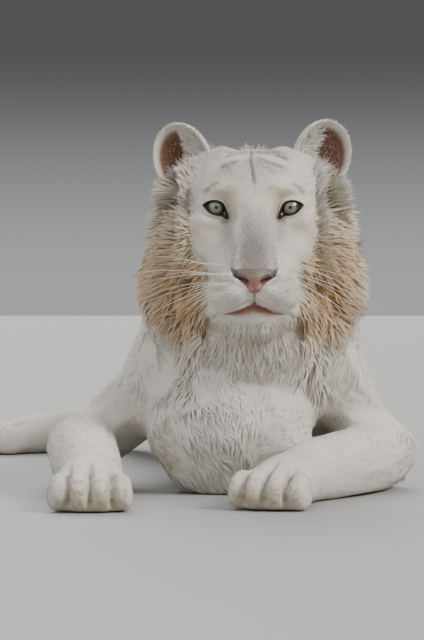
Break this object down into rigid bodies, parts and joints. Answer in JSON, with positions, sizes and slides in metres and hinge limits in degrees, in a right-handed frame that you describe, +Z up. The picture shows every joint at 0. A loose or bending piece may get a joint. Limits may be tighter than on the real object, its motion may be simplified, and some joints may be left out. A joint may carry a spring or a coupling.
{
  "type": "white tiger",
  "caption": "Life-size still model of a white tiger lying on its chest with its head up and its forelegs stretched forward on the floor",
  "frame": {"origin": "on the floor under the middle of the tiger's box", "axes": "+Z up; the tiger faces -Y, so its left side is +X and its length runs along Y"},
  "size_m": [0.8052, 1.9226, 0.5711],
  "materials": {
    "coat": "fur",
    "nose_leather": "moist",
    "eye": "glossy"
  },
  "bodies": {
    "root": {"head": "coat", "lower_jaw": "coat", "nose": "nose_leather", "ear_left": "coat", "ear_right": "coat", "eye_left": "eye", "eye_right": "eye", "ruff_left": "coat", "ruff_right": "coat", "neck": "coat", "chest": "coat", "belly": "coat", "rump": "coat", "upper_arm_left": "coat", "upper_arm_right": "coat", "forearm_left": "coat", "forearm_right": "coat", "forepaw_left": "coat", "forepaw_right": "coat", "thigh_left": "coat", "thigh_right": "coat", "shank_left": "coat", "shank_right": "coat", "hind_paw_left": "coat", "hind_paw_right": "coat", "tail_base": "coat", "tail_middle": "coat", "tail_tip": "coat"}
  },
  "joints": []
}
